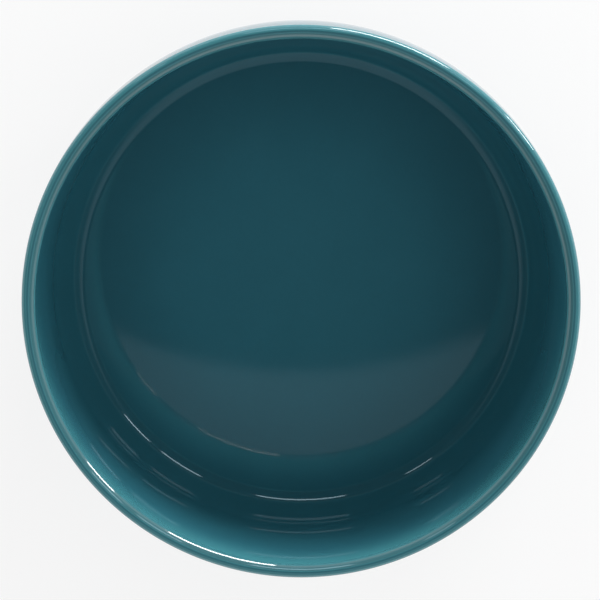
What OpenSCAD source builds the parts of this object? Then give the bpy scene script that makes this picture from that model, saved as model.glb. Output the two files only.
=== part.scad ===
// Round glazed stoneware bowl: a clay body with a turned foot ring, and two coats of glaze.
// Millimetres, +Z up. The origin is the centre of the foot ring on the table.

/* [Bowl] */
// Diameter of the clay over the belly, where it is widest
belly_d = 177.5; // [150:0.5:230]
// Height above the table at which the wall begins to lean in
belly_h = 38; // [34:0.5:46]
// Height of the clay from the table to the top of the lip
height = 75.5; // [66:0.5:95]
// Thickness of the clay wall
wall_t = 2.5; // [2.2:0.1:5]
// Radius of the inside wall's gentle inward curve, from the belly up to the lip
side_r = 180; // [100:5:400]
// Radius of the inside wall's turn, from the belly down to the cove
turn_r = 20.5; // [10:0.5:36]
// Radius of the cove where the inside wall meets the floor
cove_r = 6.5; // [3:0.5:10]
// Thickness of the clay floor
floor_t = 5; // [4:0.5:9]
// Radius of the heel where the outside wall turns in to the underside
heel_r = 16; // [8:1:20]

/* [Lip] */
// How far the rounded lip stands proud of each face of the wall
lip_bead = 0.2; // [0.05:0.05:1]

/* [Foot] */
// Diameter over the outside of the foot ring's tread
foot_d = 120; // [80:1:136]
// Width of the foot ring's flat tread
tread_w = 3; // [2:0.5:6]
// Size of the bevel along both edges of the tread
tread_bevel = 0.5; // [0.2:0.1:0.9]
// Height of the foot ring under the floor
foot_h = 4; // [3:0.5:7]
// Slope of the foot ring's two sides from upright, in degrees
foot_draft = 12; // [0:1:25]

/* [Glaze] */
// Thickness of the glaze
glaze_t = 0.4; // [0.2:0.05:0.8]
// Height of the bare clay left round the foot ring
bare_h = 2; // [1:0.5:2.5]

/* [Hidden] */
$fa = 1;
$fs = 0.4;

clay = "burlywood";
teal = [0.10, 0.27, 0.32];

// Turn and cove share a radius of this direction, a slope of 3 in 4, where one runs into the other
shared_radius = [0.8, -0.6];

// Inside, the floor runs into the cove, the cove into the turn and the turn into the upright belly
in_belly = belly_d / 2 - wall_t;
floor_z = foot_h + floor_t;
turn_c = [in_belly - turn_r, floor_z + cove_r - shared_radius.y * (turn_r - cove_r)];
cove_c = turn_c + shared_radius * (turn_r - cove_r);

// Outside, the underside runs into the heel and the heel into the upright belly
heel_c = [belly_d / 2 - heel_r, foot_h + heel_r];

// Above the belly, both faces of the wall are arcs about one centre, which lean in to the lip
side_c = [in_belly - side_r, belly_h];
mid_r = side_r + wall_t / 2;

// The lip is a full round at the top end of the middle of the wall
lip_r = wall_t / 2 + lip_bead;
lip_angle = asin((height - lip_r - belly_h) / mid_r);
lip_c = side_c + mid_r * [cos(lip_angle), sin(lip_angle)];

foot_mid = (foot_d - tread_w) / 2;
mid_floor = foot_h + floor_t / 2;

module disc(c, r) {
    translate(c) circle(r);
}

// Wedge with its corner at c, between the directions a and b
module wedge(c, a, b, reach) {
    polygon([c, c + reach * a, c + reach * b]);
}

// Half section of the wall from the belly up to the lip, grown by a skin on every face
module side_section(skin) {
    intersection() {
        difference() {
            disc(side_c, side_r + wall_t + skin);
            disc(side_c, side_r - skin);
        }
        wedge(side_c, [1, 0], [1, tan(lip_angle)], side_r + belly_d);
    }
    disc(lip_c, lip_r + skin);
}

// Half section of a round corner at c, between a flat under it and an upright that ends at the belly
module corner_section(c, r) {
    disc(c, r);
    translate([0, c.y - r]) square([c.x, belly_h - c.y + r]);
    translate([0, c.y]) square([c.x + r, belly_h - c.y]);
}

// Half section of the hollow below the belly, drawn in by a skin
module hollow_section(skin) {
    intersection() {
        disc(turn_c, turn_r - skin);
        wedge(turn_c, [1, 0], shared_radius, 2 * turn_r);
    }
    disc(cove_c, cove_r - skin);
    polygon([
        [0, floor_z + skin], [cove_c.x, floor_z + skin], cove_c, turn_c,
        [in_belly - skin, turn_c.y], [in_belly - skin, belly_h], [0, belly_h]
    ]);
}

// Half section of the base and the wall up to the belly, grown by a skin on every face
module base_section(skin) {
    difference() {
        intersection() {
            corner_section(heel_c, heel_r + skin);
            translate([0, foot_h - skin]) square([belly_d, belly_h - foot_h + skin]);
        }
        hollow_section(skin);
    }
}

// Half section of the foot ring, whose sides lean away from its bevelled tread
module foot_section(skin) {
    half = tread_w / 2 + skin / cos(foot_draft);
    edge = half + tread_bevel;
    spread = tan(foot_draft) * (mid_floor - tread_bevel);
    polygon([
        [foot_mid - half, 0], [foot_mid + half, 0],
        [foot_mid + edge, tread_bevel], [foot_mid + edge + spread, mid_floor],
        [foot_mid - edge - spread, mid_floor], [foot_mid - edge, tread_bevel]
    ]);
}

module body_section(skin) {
    side_section(skin);
    base_section(skin);
    foot_section(skin);
}

// Half section of all the glaze, which follows the clay down to the bare foot ring
module coat_section() {
    difference() {
        body_section(glaze_t);
        body_section(0);
        square([belly_d, bare_h]);
    }
}

// Half section of the space under the floor, within the foot ring
module recess_section() {
    square([foot_mid, mid_floor]);
}

module clay_body() {
    color(clay) rotate_extrude() body_section(0);
}

module bowl_glaze() {
    color(teal) rotate_extrude() difference() {
        coat_section();
        recess_section();
    }
}

module base_glaze() {
    color(teal) rotate_extrude() intersection() {
        coat_section();
        recess_section();
    }
}

clay_body();
bowl_glaze();
base_glaze();
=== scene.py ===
"""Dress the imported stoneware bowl: finely turned meshes, glaze and clay finishes, studio and camera."""

import logging
import math
from abc import ABC, abstractmethod
from collections.abc import Mapping, Sequence
from dataclasses import dataclass
from enum import Enum
from typing import Any

import bpy
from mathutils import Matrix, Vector

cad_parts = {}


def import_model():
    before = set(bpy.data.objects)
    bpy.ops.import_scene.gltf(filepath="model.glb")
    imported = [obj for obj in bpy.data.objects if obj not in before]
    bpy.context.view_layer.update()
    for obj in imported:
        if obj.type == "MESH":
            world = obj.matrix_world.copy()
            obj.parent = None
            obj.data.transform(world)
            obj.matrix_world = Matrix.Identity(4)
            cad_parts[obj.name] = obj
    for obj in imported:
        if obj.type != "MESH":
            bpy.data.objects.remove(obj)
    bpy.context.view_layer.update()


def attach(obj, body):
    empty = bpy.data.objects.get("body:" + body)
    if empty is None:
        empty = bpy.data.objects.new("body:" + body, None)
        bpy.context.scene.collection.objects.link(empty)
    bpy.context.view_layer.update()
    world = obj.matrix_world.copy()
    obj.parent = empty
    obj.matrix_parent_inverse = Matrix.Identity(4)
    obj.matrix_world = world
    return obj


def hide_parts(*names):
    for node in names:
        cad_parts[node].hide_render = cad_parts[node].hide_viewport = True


LOG = logging.getLogger("bowl")

Point = tuple[float, float]
Colour = tuple[float, float, float]

WHITE: Colour = (1.0, 1.0, 1.0)
COOL: Colour = (0.66, 0.88, 1.0)

# Angle of straight up in a half section, which is drawn to the right of the axis
UP = math.pi / 2

# Parts of a vector that are kept when its height is dropped
LEVEL = (1.0, 1.0, 0.0)

# Noise runs from 0 to 1 about this value
NOISE_MIDDLE = 0.5


class Slot(Enum):
    """The record's material slots."""

    CLAY = "clay"
    GLAZE = "teal_glaze"


class Foot(Enum):
    """The two flanks of the foot ring, by the direction in which each faces."""

    OUTER = 1
    INNER = -1


class Signal:
    """One output socket of a shader tree, with Python arithmetic that adds Math nodes."""

    def __init__(self, graph: "Graph", socket: bpy.types.NodeSocket) -> None:
        """Wrap a socket of a graph."""
        self.graph = graph
        self.socket = socket

    def _math(self, operation: str, *operands: "Signal | float") -> "Signal":
        """Add a Math node.

        Args:
            operation: What the node does.
            operands: Its operands, in order.

        Returns:
            The node's value.
        """
        return self.graph.add("ShaderNodeMath", {"operation": operation}, dict(enumerate(operands)))

    def __add__(self, other: "Signal | float") -> "Signal":
        """Sum."""
        return self._math("ADD", self, other)

    def __radd__(self, other: float) -> "Signal":
        """Sum with a number in front."""
        return self._math("ADD", other, self)

    def __sub__(self, other: "Signal | float") -> "Signal":
        """Difference."""
        return self._math("SUBTRACT", self, other)

    def __rsub__(self, other: float) -> "Signal":
        """Difference from a number in front."""
        return self._math("SUBTRACT", other, self)

    def __mul__(self, other: "Signal | float") -> "Signal":
        """Product."""
        return self._math("MULTIPLY", self, other)

    def __rmul__(self, other: float) -> "Signal":
        """Product with a number in front."""
        return self._math("MULTIPLY", other, self)

    def __truediv__(self, other: "Signal | float") -> "Signal":
        """Quotient."""
        return self._math("DIVIDE", self, other)

    def __rtruediv__(self, other: float) -> "Signal":
        """Quotient of a number in front."""
        return self._math("DIVIDE", other, self)

    def larger(self, other: "Signal | float") -> "Signal":
        """Give the larger of two values."""
        return self._math("MAXIMUM", self, other)


class Graph:
    """The node tree of one finish or of the world."""

    # Places of the Mix node's colour sockets, whose names it uses more than once
    MIX_FACTOR = 0
    MIX_FIRST = 6
    MIX_SECOND = 7
    MIX_RESULT = 2

    def __init__(self, tree: bpy.types.NodeTree, output: str) -> None:
        """Empty a tree and give it an output node.

        Args:
            tree: The tree.
            output: The output node's type.
        """
        tree.nodes.clear()
        self.tree = tree
        self.end = tree.nodes.new(output)

    def add(
        self,
        kind: str,
        settings: Mapping[str, Any] | None = None,
        sockets: Mapping[str | int, Any] | None = None,
        output: str | int = 0,
    ) -> Signal:
        """Add a node of any type.

        Args:
            kind: The node's type.
            settings: The node's own properties, which are set first.
            sockets: Values or signals for its inputs, by name or by place.
            output: The output to give back, by name or by place.

        Returns:
            The chosen output.
        """
        node = self.tree.nodes.new(kind)
        for name, value in (settings or {}).items():
            setattr(node, name, value)
        for name, value in (sockets or {}).items():
            socket = node.inputs[name]
            if isinstance(value, Signal):
                self.tree.links.new(value.socket, socket)
            elif socket.type == "RGBA":
                socket.default_value = (*value, 1.0)
            else:
                socket.default_value = value
        return Signal(self, node.outputs[output])

    def mix(self, factor: Signal, first: Signal | Colour, second: Signal | Colour) -> Signal:
        """Blend two colours.

        Args:
            factor: Share of the second colour.
            first: Colour at a factor of 0.
            second: Colour at a factor of 1.

        Returns:
            The blended colour.
        """
        sockets = {self.MIX_FACTOR: factor, self.MIX_FIRST: first, self.MIX_SECOND: second}
        return self.add("ShaderNodeMix", {"data_type": "RGBA"}, sockets, self.MIX_RESULT)

    def step(self, value: Signal, low: float, high: float) -> Signal:
        """Rise smoothly from 0 at low to 1 at high.

        Args:
            value: The value that is compared.
            low: Where the mask is 0.
            high: Where the mask is 1.

        Returns:
            The mask.
        """
        settings = {"interpolation_type": "SMOOTHSTEP"}
        return self.add("ShaderNodeMapRange", settings, {"Value": value, "From Min": low, "From Max": high})

    def noise(self, place: Signal, scale: float, detail: float) -> Signal:
        """Give cloudy noise about NOISE_MIDDLE.

        Args:
            place: Point in space, in metres.
            scale: Clouds to the metre.
            detail: Finer layers on top of the first.

        Returns:
            The noise, from 0 to 1.
        """
        return self.add("ShaderNodeTexNoise", None, {"Vector": place, "Scale": scale, "Detail": detail})

    def place(self) -> Signal:
        """Give the point on the piece, in metres from the middle of its foot."""
        return self.add("ShaderNodeTexCoord", None, None, "Object")

    def part(self, vector: Signal, axis: str) -> Signal:
        """Take one of a vector's three parts, named X, Y or Z."""
        return self.add("ShaderNodeSeparateXYZ", None, {"Vector": vector}, axis)

    def radius(self, place: Signal) -> Signal:
        """Give a point's distance from the upright axis."""
        level = self.add("ShaderNodeVectorMath", {"operation": "MULTIPLY"}, {0: place, 1: LEVEL})
        return self.add("ShaderNodeVectorMath", {"operation": "LENGTH"}, {0: level}, "Value")

    def seen(self) -> Signal:
        """Tell rays that show a surface from those that only light one.

        Returns:
            1 on rays from the camera, mirror rays and rays through glass, and 0 on the others.
        """
        rays = [
            self.add("ShaderNodeLightPath", None, None, ray)
            for ray in ("Is Camera Ray", "Is Glossy Ray", "Is Transmission Ray")
        ]
        return rays[0].larger(rays[1]).larger(rays[2])

    def close(self, surface: Signal) -> None:
        """Link the surface to the output."""
        self.tree.links.new(surface.socket, self.end.inputs["Surface"])


def new_material(name: str) -> tuple[bpy.types.Material, Graph]:
    """Make a material with an empty tree.

    Args:
        name: The material's name.

    Returns:
        The material and its graph.
    """
    material = bpy.data.materials.new(name)
    material.use_nodes = True
    return material, Graph(material.node_tree, "ShaderNodeOutputMaterial")


@dataclass(frozen=True)
class BowlSizes:
    """The bowl's sizes in metres and radians, the same as in its solids."""

    belly_d: float = 0.1775
    belly_h: float = 0.038
    height: float = 0.0755
    wall_t: float = 0.0025
    side_r: float = 0.180
    turn_r: float = 0.0205
    cove_r: float = 0.0065
    floor_t: float = 0.005
    heel_r: float = 0.016
    lip_bead: float = 0.0002
    foot_d: float = 0.120
    tread_w: float = 0.003
    tread_bevel: float = 0.0005
    foot_h: float = 0.004
    foot_draft: float = math.radians(12)
    glaze_t: float = 0.0004
    bare_h: float = 0.002
    shared_radius: Point = (0.8, -0.6)

    @property
    def in_belly(self) -> float:
        """Inside radius at the belly."""
        return self.belly_d / 2 - self.wall_t

    @property
    def floor_z(self) -> float:
        """Height of the clay floor."""
        return self.foot_h + self.floor_t

    @property
    def top(self) -> float:
        """Height of the glazed lip."""
        return self.height + self.glaze_t

    @property
    def turn_c(self) -> Point:
        """Centre of the inside wall's turn."""
        rise = self.cove_r - self.shared_radius[1] * (self.turn_r - self.cove_r)
        return self.in_belly - self.turn_r, self.floor_z + rise

    @property
    def cove_c(self) -> Point:
        """Centre of the cove."""
        reach = self.turn_r - self.cove_r
        return (
            self.turn_c[0] + self.shared_radius[0] * reach,
            self.turn_c[1] + self.shared_radius[1] * reach,
        )

    @property
    def heel_c(self) -> Point:
        """Centre of the heel."""
        return self.belly_d / 2 - self.heel_r, self.foot_h + self.heel_r

    @property
    def side_c(self) -> Point:
        """Centre of both faces of the leaning side."""
        return self.in_belly - self.side_r, self.belly_h

    @property
    def mid_r(self) -> float:
        """Radius of the middle of the leaning side."""
        return self.side_r + self.wall_t / 2

    @property
    def lip_r(self) -> float:
        """Radius of the round lip."""
        return self.wall_t / 2 + self.lip_bead

    @property
    def lip_angle(self) -> float:
        """Lean of the wall at the lip."""
        return math.asin((self.height - self.lip_r - self.belly_h) / self.mid_r)

    @property
    def lip_c(self) -> Point:
        """Centre of the round lip."""
        return (
            self.side_c[0] + self.mid_r * math.cos(self.lip_angle),
            self.side_c[1] + self.mid_r * math.sin(self.lip_angle),
        )

    @property
    def foot_mid(self) -> float:
        """Radius of the middle of the foot ring."""
        return (self.foot_d - self.tread_w) / 2


def line(start: Point, end: Point, steps: int) -> list[Point]:
    """Divide a straight line.

    Args:
        start: Its first point.
        end: Its last point.
        steps: Number of pieces.

    Returns:
        All its points, both ends included.
    """
    shares = [i / steps for i in range(steps + 1)]
    return [(start[0] + t * (end[0] - start[0]), start[1] + t * (end[1] - start[1])) for t in shares]


def arc(centre: Point, radius: float, start: float, end: float, steps: int) -> list[Point]:
    """Divide an arc.

    Args:
        centre: Its centre.
        radius: Its radius.
        start: Angle of its first point, in radians.
        end: Angle of its last point, in radians.
        steps: Number of pieces.

    Returns:
        All its points, both ends included.
    """
    return [on_circle(centre, radius, start + (end - start) * i / steps) for i in range(steps + 1)]


def on_circle(centre: Point, radius: float, angle: float) -> Point:
    """Give the point of a circle at an angle in radians."""
    return centre[0] + radius * math.cos(angle), centre[1] + radius * math.sin(angle)


def bend(start: Point, corner: Point, end: Point, steps: int) -> list[Point]:
    """Round off a corner with a curve that leaves and arrives along its two sides.

    Args:
        start: Its first point.
        corner: The corner that it cuts.
        end: Its last point.
        steps: Number of pieces.

    Returns:
        All its points, both ends included.
    """
    points = []
    for t in (i / steps for i in range(steps + 1)):
        shares = ((1 - t) ** 2, 2 * t * (1 - t), t**2)
        across, up = (
            sum(share * point[axis] for share, point in zip(shares, (start, corner, end)))
            for axis in (0, 1)
        )
        points.append((across, up))
    return points


def run_to_circle(start: Point, angle: float, centre: Point, radius: float) -> Point:
    """Find where a straight line from within a circle leaves it.

    Args:
        start: The line's first point.
        angle: The line's direction, in radians.
        centre: The circle's centre.
        radius: The circle's radius.

    Returns:
        The point on the circle.
    """
    offset = (start[0] - centre[0], start[1] - centre[1])
    along = offset[0] * math.cos(angle) + offset[1] * math.sin(angle)
    room = radius**2 - math.hypot(*offset) ** 2
    return on_circle(start, math.sqrt(along**2 + room) - along, angle)


def joined(*runs: Sequence[Point]) -> list[Point]:
    """String runs of points together.

    Args:
        runs: The runs, in order.

    Returns:
        All the points, without those that repeat the one before.
    """
    nearest = 1e-7
    points: list[Point] = []
    for point in (p for run in runs for p in run):
        if not points or math.dist(points[-1], point) > nearest:
            points.append(point)
    return points


@dataclass(frozen=True)
class Steps:
    """Number of steps in each run of an outline, which its fineness multiplies."""

    floor: int = 3
    cove: int = 12
    turn: int = 10
    upright: int = 2
    side: int = 7
    lip: int = 20
    heel: int = 10
    under: int = 2
    recess: int = 4
    fillet: int = 4
    edge: int = 6
    slope: int = 5
    crown: int = 14


@dataclass(frozen=True)
class Outline:
    """The bowl's half section as runs of points, at a given thickness of skin over the clay."""

    sizes: BowlSizes
    skin: float
    fineness: int = 1
    steps: Steps = Steps()

    def _lip_end(self, face_r: float) -> float:
        """Find where a face of the wall runs into the round lip.

        Args:
            face_r: The face's radius about the side's centre.

        Returns:
            The angle of that point at the side's centre.
        """
        size = self.sizes
        lip_r = size.lip_r + self.skin
        along = (size.mid_r**2 + face_r**2 - lip_r**2) / (2 * size.mid_r)
        return size.lip_angle - math.acos(along / face_r)

    def _on_lip(self, face_r: float) -> float:
        """Find where the round lip runs into a face of the wall.

        Args:
            face_r: The face's radius about the side's centre.

        Returns:
            The angle of that point at the lip's centre.
        """
        size = self.sizes
        point = on_circle(size.side_c, face_r, self._lip_end(face_r))
        return math.atan2(point[1] - size.lip_c[1], point[0] - size.lip_c[0])

    def _inner_end(self) -> float:
        """Give the angle at the side's centre at which the inside face ends."""
        return self._lip_end(self.sizes.side_r - self.skin)

    def inside(self) -> list[Point]:
        """Trace the inside from the middle of the floor up to the lip.

        Returns:
            The points.
        """
        size, skin, steps, fine = self.sizes, self.skin, self.steps, self.fineness
        floor = size.floor_z + skin
        wall = size.in_belly - skin
        face_r = size.side_r - skin
        shared = math.atan2(size.shared_radius[1], size.shared_radius[0])
        return joined(
            line((0.0, floor), (size.cove_c[0], floor), steps.floor * fine),
            arc(size.cove_c, size.cove_r - skin, -UP, shared, steps.cove * fine),
            arc(size.turn_c, size.turn_r - skin, shared, 0.0, steps.turn * fine),
            line((wall, size.turn_c[1]), (wall, size.belly_h), steps.upright * fine),
            arc(size.side_c, face_r, 0.0, self._inner_end(), steps.side * fine),
        )

    def lip(self) -> list[Point]:
        """Trace the round lip from the inside face of the wall over to the outside face.

        Returns:
            The points.
        """
        size = self.sizes
        inner = self._on_lip(size.side_r - self.skin) % math.tau
        outer = self._on_lip(size.side_r + size.wall_t + self.skin)
        return arc(size.lip_c, size.lip_r + self.skin, inner, outer, self.steps.lip * self.fineness)

    def outside(self) -> list[Point]:
        """Trace the outside from the lip down to the underside by the foot ring.

        Returns:
            The points.
        """
        size, skin, steps, fine = self.sizes, self.skin, self.steps, self.fineness
        wall = size.belly_d / 2 + skin
        face_r = size.side_r + size.wall_t + skin
        under = size.foot_h - skin
        return joined(
            arc(size.side_c, face_r, self._lip_end(face_r), 0.0, steps.side * fine),
            line((wall, size.belly_h), (wall, size.heel_c[1]), steps.upright * fine),
            arc(size.heel_c, size.heel_r + skin, 0.0, -UP, steps.heel * fine),
            line((size.heel_c[0], under), self.flank(Foot.OUTER, under), steps.under * fine),
        )

    def flank(self, side: Foot, height: float) -> Point:
        """Give a point on a flank of the foot ring.

        Args:
            side: The flank.
            height: The point's height above the table.

        Returns:
            The point.
        """
        size = self.sizes
        half = size.tread_w / 2 + self.skin / math.cos(size.foot_draft)
        spread = math.tan(size.foot_draft) * (height - size.tread_bevel)
        return size.foot_mid + side.value * (half + size.tread_bevel + spread), height

    def tread(self) -> list[Point]:
        """Trace the bevelled tread from the outer flank to the inner one.

        Returns:
            The points.
        """
        size = self.sizes
        half = size.tread_w / 2
        return [
            self.flank(Foot.OUTER, size.tread_bevel),
            (size.foot_mid + half, 0.0),
            (size.foot_mid - half, 0.0),
            self.flank(Foot.INNER, size.tread_bevel),
        ]

    def recess(self) -> list[Point]:
        """Trace the underside within the foot ring, from its inner flank to the middle."""
        under = self.sizes.foot_h - self.skin
        return line(self.flank(Foot.INNER, under), (0.0, under), self.steps.recess * self.fineness)


@dataclass(frozen=True)
class GlazeOutline(Outline):
    """The glaze's own face, which gathers along the inside of the lip in a slope with a round edge.

    Its tilts are counted from straight up, towards the middle of the bowl.
    """

    slope_r: float = 0.004
    slope_from: float = math.radians(33)
    slope_to: float = math.radians(54)
    edge_r: float = 0.001
    edge_to: float = math.radians(125)
    fillet: float = 0.0013

    @property
    def _slope_c(self) -> Point:
        """Centre of the slope, which runs on from the round lip."""
        size = self.sizes
        return on_circle(size.lip_c, size.lip_r + self.skin - self.slope_r, UP + self.slope_from)

    @property
    def _edge_c(self) -> Point:
        """Centre of the edge, which runs on from the slope."""
        return on_circle(self._slope_c, self.slope_r - self.edge_r, UP + self.slope_to)

    def _edge_end(self) -> Point:
        """Give the point under the edge at which the fillet ends."""
        return on_circle(self._edge_c, self.edge_r, UP + self.edge_to)

    def _fillet_corner(self) -> Point:
        """Run straight on from the edge to the inside face.

        Returns:
            The point of the inside face at which that run ends.
        """
        size = self.sizes
        onwards = UP + self.edge_to + math.pi / 2
        return run_to_circle(self._edge_end(), onwards, size.side_c, size.side_r - self.skin)

    def _inner_end(self) -> float:
        """Find where the fillet under the edge begins.

        Returns:
            The angle of that point at the side's centre.
        """
        size = self.sizes
        across, up = (self._fillet_corner()[axis] - size.side_c[axis] for axis in (0, 1))
        return math.atan2(up, across) - self.fillet / (size.side_r - self.skin)

    def lip(self) -> list[Point]:
        """Trace the lip from the fillet under its edge over to the outside face.

        Returns:
            The points.
        """
        size, steps, fine = self.sizes, self.steps, self.fineness
        start = on_circle(size.side_c, size.side_r - self.skin, self._inner_end())
        outer = self._on_lip(size.side_r + size.wall_t + self.skin)
        slope_from, slope_to, edge_to = UP + self.slope_from, UP + self.slope_to, UP + self.edge_to
        return joined(
            bend(start, self._fillet_corner(), self._edge_end(), steps.fillet * fine),
            arc(self._edge_c, self.edge_r, edge_to, slope_to, steps.edge * fine),
            arc(self._slope_c, self.slope_r, slope_to, slope_from, steps.slope * fine),
            arc(size.lip_c, size.lip_r + self.skin, slope_from, outer, steps.crown * fine),
        )


def turned(name: str, section: Sequence[Point], segments: int, crease: float) -> bpy.types.Object:
    """Spin a half section round the upright axis into a smooth closed mesh.

    Args:
        name: The new object's name.
        section: Points from the axis round to the axis, or a ring that closes on itself.
        segments: Number of steps round the axis.
        crease: Angle in radians from which an edge stays sharp.

    Returns:
        The object, in the scene.
    """
    on_axis = 1e-6
    angles = [math.tau * i / segments for i in range(segments)]
    vertices: list[tuple[float, float, float]] = []
    rings: list[list[int]] = []
    for radius, height in section:
        first = len(vertices)
        if radius < on_axis:
            vertices.append((0.0, 0.0, height))
            rings.append([first] * segments)
        else:
            vertices.extend((radius * math.cos(a), radius * math.sin(a), height) for a in angles)
            rings.append(list(range(first, first + segments)))
    if section[0][0] >= on_axis:
        rings.append(rings[0])
    faces = []
    for ring, following in zip(rings, rings[1:]):
        for i in range(segments):
            j = (i + 1) % segments
            corners = (ring[i], following[i], following[j], ring[j])
            faces.append(tuple(dict.fromkeys(corners)))
    mesh = bpy.data.meshes.new(name)
    mesh.from_pydata(vertices, [], faces)
    mesh.shade_smooth()
    mesh.set_sharp_from_angle(angle=crease)
    piece = bpy.data.objects.new(name, mesh)
    bpy.context.scene.collection.objects.link(piece)
    return piece


@dataclass(frozen=True)
class Band:
    """A stretch along some measure, with a soft start and a soft end."""

    start: float
    full: float
    fade: float
    end: float

    def mask(self, graph: Graph, value: Signal) -> Signal:
        """Give 1 from full to fade, and 0 before start and past end."""
        return graph.step(value, self.start, self.full) * (1 - graph.step(value, self.fade, self.end))


@dataclass(frozen=True)
class GlazeFinish:
    """Gloss teal glaze. Painted light makes the inside paler towards the rim, and painted shade makes the
    glaze deeper outside and round the edge of the floor.

    The lip has a dark band along its crown, a painted reflection of the dim ceiling, and a darker band on
    the slope inwards of it.
    Both are placed by how far they lie inwards of the middle of the lip, in shares of the lip's radius.
    """

    sizes: BowlSizes
    colour: Colour = (0.036, 0.178, 0.233)
    # Painted shade: the outside is darker than the inside, to offset the stronger light that falls on it.
    outer: Colour = (0.022, 0.110, 0.149)
    facing_in: float = -0.3
    facing_out: float = 0.1
    # Painted light: the inside is paler up towards the rim, where the light comes in over the lip.
    rim: Colour = (0.074, 0.300, 0.335)
    rim_light_h: float = 0.030
    lip: Colour = (0.044, 0.168, 0.194)
    lip_h: float = 0.0048
    # A darker band on the lip's inner slope.
    slope_tone: Colour = (0.040, 0.120, 0.138)
    slope_tone_band: Band = Band(0.4, 0.65, 1.3, 1.6)
    # Painted reflection: a dark line along the crown of the lip, where the dim ceiling shows in the gloss.
    crown: Colour = (0.021, 0.093, 0.117)
    dark_reflection_band: Band = Band(-0.15, 0.1, 0.25, 0.5)
    dark_reflection_share: float = 0.8
    # Painted shade: the floor is darker round its edge, by the cove.
    edge_shade: float = 0.11
    edge_shade_from: float = 0.040
    edge_shade_to: float = 0.068
    cloud: float = 0.05
    cloud_scale: float = 55.0
    mottle_scale: float = 900.0
    gloss: float = 0.05
    gloss_swing: float = 0.04
    ior: float = 1.6
    ripple: float = 0.000004
    ripple_scale: float = 230.0

    def material(self) -> bpy.types.Material:
        """Make the finish.

        Returns:
            The material.
        """
        material, graph = new_material("teal_glaze")
        place = graph.place()
        inside = self._inside(graph, place)
        clouds = graph.noise(place, self.cloud_scale, detail=4.0) - NOISE_MIDDLE
        mottle = graph.noise(place, self.mottle_scale, detail=2.0) - NOISE_MIDDLE
        # Painted shade: the floor is darkened round its edge, by the cove.
        edge_shade_mask = self._edge_shade_mask(graph, place, inside)
        shade = 1 + clouds * (2 * self.cloud) + mottle * self.cloud - self.edge_shade * edge_shade_mask
        sockets = {"Vector": self._colour(graph, place, inside), "Scale": shade}
        colour = graph.add("ShaderNodeVectorMath", {"operation": "SCALE"}, sockets)
        ripples = graph.noise(place, self.ripple_scale, detail=1.0)
        bump = graph.add("ShaderNodeBump", None, {"Height": ripples, "Distance": self.ripple})
        surface = graph.add(
            "ShaderNodeBsdfPrincipled",
            None,
            {
                "Base Color": colour,
                "Roughness": self.gloss + clouds * self.gloss_swing,
                "IOR": self.ior,
                "Normal": bump,
            },
        )
        graph.close(surface)
        return material

    def _inside(self, graph: Graph, place: Signal) -> Signal:
        """Mask the inside of the bowl.

        Args:
            graph: The finish's graph.
            place: The point on the piece.

        Returns:
            The mask, which is 1 on faces that look up or towards the axis.
        """
        normal = graph.add("ShaderNodeNewGeometry", None, None, "Normal")
        sockets = {0: normal, 1: place}
        outward = graph.add("ShaderNodeVectorMath", {"operation": "DOT_PRODUCT"}, sockets, "Value")
        facing = outward / self.sizes.belly_d - graph.part(normal, "Z")
        return 1 - graph.step(facing, self.facing_in, self.facing_out)

    def _edge_shade_mask(self, graph: Graph, place: Signal, inside: Signal) -> Signal:
        """Mask the painted shade round the edge of the floor, by the cove.

        Args:
            graph: The finish's graph.
            place: The point on the piece.
            inside: Mask of the inside of the bowl.

        Returns:
            The mask.
        """
        size = self.sizes
        height = graph.part(place, "Z")
        low = 1 - graph.step(height, size.floor_z + size.cove_r / 2, size.floor_z + 2 * size.cove_r)
        return inside * low * graph.step(graph.radius(place), self.edge_shade_from, self.edge_shade_to)

    def _colour(self, graph: Graph, place: Signal, inside: Signal) -> Signal:
        """Lay the glaze's colours over each other, from the wall up to the crown of the lip.

        Args:
            graph: The finish's graph.
            place: The point on the piece.
            inside: Mask of the inside of the bowl.

        Returns:
            The colour.
        """
        size = self.sizes
        height = graph.part(place, "Z")
        inward = (size.lip_c[0] - graph.radius(place)) / size.lip_r
        # Painted light on the inside, up towards the rim.
        rim = inside * graph.step(height, size.top - self.rim_light_h, size.top)
        lip = graph.step(height, size.top - self.lip_h, size.top - self.lip_h / 2)
        crest = graph.step(height, size.top - self.lip_h / 2, size.top - self.lip_h / 4)
        # Darker band on the lip's inner slope.
        slope_tone = crest * self.slope_tone_band.mask(graph, inward)
        # Painted reflection: the dark line along the crown of the lip.
        crown = crest * self.dark_reflection_band.mask(graph, inward)
        # Painted shade: the outside takes the darker colour.
        colour = graph.mix(inside, self.outer, self.colour)
        colour = graph.mix(rim, colour, self.rim)
        colour = graph.mix(lip, colour, self.lip)
        colour = graph.mix(slope_tone, colour, self.slope_tone)
        return graph.mix(crown * self.dark_reflection_share, colour, self.crown)


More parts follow.
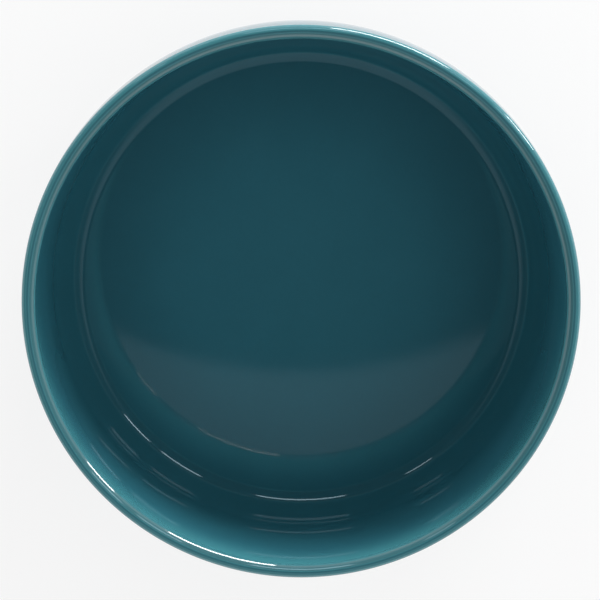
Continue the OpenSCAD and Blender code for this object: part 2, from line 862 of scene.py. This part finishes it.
@dataclass(frozen=True)
class ClayFinish:
    """Matt, sandy fired stoneware, toasted in clouds and specked with iron."""

    colour: Colour = (0.48, 0.36, 0.25)
    toasted: Colour = (0.36, 0.23, 0.14)
    toast_from: float = 0.35
    toast_to: float = 0.7
    cloud_scale: float = 70.0
    iron: Colour = (0.09, 0.055, 0.035)
    speck_core: float = 0.12
    speck_edge: float = 0.2
    speck_scale: float = 700.0
    sand_from: float = 0.45
    sand_to: float = 0.6
    sand_scale: float = 2200.0
    rough: float = 0.86
    rough_swing: float = 0.1
    grain: float = 0.00006

    def material(self) -> bpy.types.Material:
        """Make the finish.

        Returns:
            The material.
        """
        material, graph = new_material("fired_clay")
        place = graph.place()
        clouds = graph.noise(place, self.cloud_scale, detail=4.0)
        toast = graph.step(clouds, self.toast_from, self.toast_to)
        sand = graph.noise(place, self.sand_scale, detail=3.0)
        sockets = {"Vector": place, "Scale": self.speck_scale}
        cells = graph.add("ShaderNodeTexVoronoi", None, sockets, "Distance")
        round_speck = 1 - graph.step(cells, self.speck_core, self.speck_edge)
        specks = round_speck * graph.step(sand, self.sand_from, self.sand_to)
        colour = graph.mix(toast, self.colour, self.toasted)
        colour = graph.mix(specks, colour, self.iron)
        bump = graph.add("ShaderNodeBump", None, {"Height": sand, "Distance": self.grain})
        surface = graph.add(
            "ShaderNodeBsdfPrincipled",
            None,
            {
                "Base Color": colour,
                "Roughness": self.rough + (sand - NOISE_MIDDLE) * self.rough_swing,
                "Normal": bump,
            },
        )
        graph.close(surface)
        return material


@dataclass(frozen=True)
class FloorFinish:
    """Pale matt paper that keeps the bowl's shadow, lifted towards white where it is seen."""

    colour: Colour = (0.86, 0.86, 0.86)
    lift: float = 0.76

    def material(self) -> bpy.types.Material:
        """Make the finish.

        Returns:
            The material.
        """
        material, graph = new_material("pale_paper")
        paper = graph.add("ShaderNodeBsdfDiffuse", None, {"Color": self.colour})
        glow = graph.add("ShaderNodeEmission", None, {"Color": WHITE})
        surface = graph.add("ShaderNodeMixShader", None, {0: graph.seen() * self.lift, 1: paper, 2: glow})
        graph.close(surface)
        return material


@dataclass
class TurnedPiece(ABC):
    """A piece that was made on the wheel, and the CAD node whose place it takes."""

    sizes: BowlSizes
    finish: bpy.types.Material
    segments: int = 288
    crease: float = math.radians(35)

    name: str = ""
    node: str = ""
    slot: Slot = Slot.CLAY

    @abstractmethod
    def section(self) -> list[Point]:
        """Give the half section."""

    def build(self) -> bpy.types.Object:
        """Make the mesh and put it in its node's place.

        Returns:
            The piece.
        """
        piece = turned(self.name, self.section(), self.segments, self.crease)
        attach(piece, "root")
        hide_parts(self.node)
        return piece

    def dress(self, piece: bpy.types.Object) -> None:
        """Give the piece its finish and report it."""
        piece.data.materials.append(self.finish)
        LOG.info("%s stands for %s: %d faces", piece.name, self.node, len(piece.data.polygons))


@dataclass
class StonewareBody(TurnedPiece):
    """The fired clay with its foot ring, bare only round the tread."""

    name: str = "stoneware_body"
    node: str = "clay_body"
    slot: Slot = Slot.CLAY

    def section(self) -> list[Point]:
        """Trace the clay from the middle of the floor over the lip to the middle underneath."""
        clay = Outline(self.sizes, 0.0)
        return joined(clay.inside(), clay.lip(), clay.outside(), clay.tread(), clay.recess())


@dataclass
class BowlGlaze(TurnedPiece):
    """The glaze over the inside, the lip and the outside, down to the bare foot ring."""

    name: str = "glaze_coat"
    node: str = "bowl_glaze"
    slot: Slot = Slot.GLAZE
    fineness: int = 3

    def section(self) -> list[Point]:
        """Trace the glaze's face outwards from the middle, and the clay's face back under it.

        Returns:
            The ring of points.
        """
        face = GlazeOutline(self.sizes, self.sizes.glaze_t, self.fineness)
        clay = Outline(self.sizes, 0.0)
        shown, under = (
            joined(side.inside(), side.lip(), side.outside(), [side.flank(Foot.OUTER, self.sizes.bare_h)])
            for side in (face, clay)
        )
        return shown + under[::-1]


@dataclass
class BaseGlaze(TurnedPiece):
    """The patch of glaze underneath, within the foot ring."""

    name: str = "glaze_patch"
    node: str = "base_glaze"
    slot: Slot = Slot.GLAZE

    def section(self) -> list[Point]:
        """Trace the clay's face outwards from the middle, and the glaze's face back under it.

        Returns:
            The points, from the axis round to the axis.
        """
        face = Outline(self.sizes, self.sizes.glaze_t)
        clay = Outline(self.sizes, 0.0)
        shown, under = (
            joined([side.flank(Foot.INNER, self.sizes.bare_h)], side.recess()) for side in (face, clay)
        )
        return under[::-1] + shown


@dataclass(frozen=True, kw_only=True)
class Softbox:
    """A soft lamp, placed by its direction from the middle of the bowl's mouth.

    Its azimuth, from +X towards +Y, and its elevation are in degrees, and its sizes in metres. With
    glint_only it shows in gloss and lights no matt surface.
    """

    name: str
    azimuth: float
    elevation: float
    width: float
    depth: float
    radiance: float
    colour: Colour = WHITE
    glint_only: bool = False
    distance: float = 1.2

    def hang(self, target: Vector) -> None:
        """Put the lamp in the scene.

        Args:
            target: The point that it faces.
        """
        data = bpy.data.lights.new(self.name, "AREA")
        data.shape = "RECTANGLE"
        data.size, data.size_y = self.width, self.depth
        data.energy = self.radiance * math.pi * self.width * self.depth
        data.color = self.colour
        lamp = bpy.data.objects.new(self.name, data)
        around, above = math.radians(self.azimuth), math.radians(self.elevation)
        towards = Vector(
            (math.cos(around) * math.cos(above), math.sin(around) * math.cos(above), math.sin(above))
        )
        lamp.location = target + towards * self.distance
        lamp.rotation_mode = "QUATERNION"
        lamp.rotation_quaternion = (-towards).to_track_quat("-Z", "Y")
        lamp.visible_camera = False
        lamp.visible_diffuse = not self.glint_only
        bpy.context.scene.collection.objects.link(lamp)


@dataclass(frozen=True, kw_only=True)
class HighBox(Softbox):
    """A cool softbox high on the far side, for the streaks in the cove."""

    elevation: float = 40.0
    depth: float = 0.18
    colour: Colour = COOL
    glint_only: bool = True


@dataclass(frozen=True, kw_only=True)
class LowBox(Softbox):
    """A strong softbox low on the far side, for the light on the near wall and the glints on the lip."""

    elevation: float = 9.0
    depth: float = 0.24


@dataclass
class Studio:
    """A pale paper floor, a soft room and softboxes beyond the bowl's far side.

    Gloss shows a dim ceiling, a paler wall on the near side with a bowed top and soft ends, and a bright
    horizon. What lights the scene is a soft light from overhead, which leans to the near side and to the
    right, and one from all round the horizon, a little stronger from the far side.
    """

    sizes: BowlSizes
    floor_r: float = 6.0
    floor_sides: int = 96
    grazing: float = 0.02
    ceiling: float = 0.05
    wall_level: float = 0.40
    wall_top: float = 0.206
    wall_bow: float = 1.43
    wall_blur: float = 0.006
    wall_half: float = 0.25
    wall_end: float = 0.65
    horizon_level: float = 0.95
    horizon_full: float = 0.33
    horizon_end: float = 0.42
    overhead: float = 0.53
    lean: float = 0.38
    side_lean: float = 0.30
    surround: float = 2.3
    far_side: float = 0.25

    def lamps(self) -> list[Softbox]:
        """List the softboxes."""
        return [
            HighBox(name="high_middle", azimuth=90.0, width=0.44, radiance=4.6),
            HighBox(name="high_right", azimuth=51.0, width=0.22, radiance=4.6),
            HighBox(name="high_far_right", azimuth=34.0, width=0.17, radiance=5.4),
            HighBox(name="high_left", azimuth=128.0, width=0.14, depth=0.16, radiance=3.6),
            LowBox(name="low_key", azimuth=69.0, width=0.60, radiance=25.5),
            LowBox(name="low_side", azimuth=33.0, width=0.20, radiance=22.0),
        ]

    def build(self) -> None:
        """Lay the floor, light the room and hang the lamps."""
        self._lay_floor()
        self._light_room()
        mouth = Vector((0.0, 0.0, self.sizes.height))
        for lamp in self.lamps():
            lamp.hang(mouth)

    def _lay_floor(self) -> None:
        """Lay a wide round floor at the height of the table."""
        angles = [math.tau * i / self.floor_sides for i in range(self.floor_sides)]
        rim = [(self.floor_r * math.cos(a), self.floor_r * math.sin(a), 0.0) for a in angles]
        mesh = bpy.data.meshes.new("paper_floor")
        mesh.from_pydata(rim, [], [tuple(range(self.floor_sides))])
        mesh.materials.append(FloorFinish().material())
        floor = bpy.data.objects.new("paper_floor", mesh)
        bpy.context.scene.collection.objects.link(floor)

    def _light_room(self) -> None:
        """Give the world what gloss shows on the rays that are seen, and the light on the others."""
        world = bpy.data.worlds.new("room")
        world.use_nodes = True
        bpy.context.scene.world = world
        graph = Graph(world.node_tree, "ShaderNodeOutputWorld")
        direction = graph.add("ShaderNodeTexCoord", None, None, "Generated")
        east, north, up = (graph.part(direction, axis) for axis in "XYZ")
        over = up.larger(self.grazing)
        across, along = east / over, north / over
        beyond = along + self.wall_top - self.wall_bow * across * across
        ends = graph.step(east * east, self.wall_half**2, self.wall_end**2)
        near_wall = graph.step(beyond, self.wall_blur, -self.wall_blur) * (1 - ends)
        horizon = 1 - graph.step(up, self.horizon_full, self.horizon_end)
        shown = self.ceiling + near_wall * self.wall_level + horizon * self.horizon_level
        around = horizon * self.surround * (1 + self.far_side * north)
        light = self.overhead * (1 - self.lean * north + self.side_lean * east) + around
        seen = graph.seen()
        level = light + (shown - light) * seen
        tint = graph.mix(seen * (1 - horizon), WHITE, COOL)
        graph.close(graph.add("ShaderNodeBackground", None, {"Color": tint, "Strength": level}))


@dataclass(frozen=True)
class PhotoCamera:
    """The camera above the bowl, moved and tilted a little towards the far side."""

    sizes: BowlSizes
    across: float = -0.00034
    along: float = 0.0590
    above_lip: float = 0.3780
    tilt: float = math.radians(8.385)
    lens: float = 75.16
    sensor: float = 36.0
    nearest: float = 0.01
    farthest: float = 50.0

    def build(self) -> None:
        """Make the camera and let the scene use it."""
        data = bpy.data.cameras.new("photo_camera")
        data.lens, data.sensor_width = self.lens, self.sensor
        data.clip_start, data.clip_end = self.nearest, self.farthest
        camera = bpy.data.objects.new("photo_camera", data)
        camera.location = (self.across, self.along, self.sizes.top + self.above_lip)
        camera.rotation_euler = (-self.tilt, 0.0, 0.0)
        bpy.context.scene.collection.objects.link(camera)
        bpy.context.scene.camera = camera


def main() -> None:
    """Build the bowl, the studio and the camera."""
    logging.basicConfig(level=logging.INFO, format="%(name)s: %(message)s")
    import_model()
    bpy.context.scene.view_settings.view_transform = "Standard"
    sizes = BowlSizes()
    glaze = GlazeFinish(sizes).material()
    clay = ClayFinish().material()
    for part in (StonewareBody(sizes, clay), BowlGlaze(sizes, glaze), BaseGlaze(sizes, glaze)):
        part.dress(part.build())
    Studio(sizes).build()
    PhotoCamera(sizes).build()


if __name__ == "__main__":
    main()
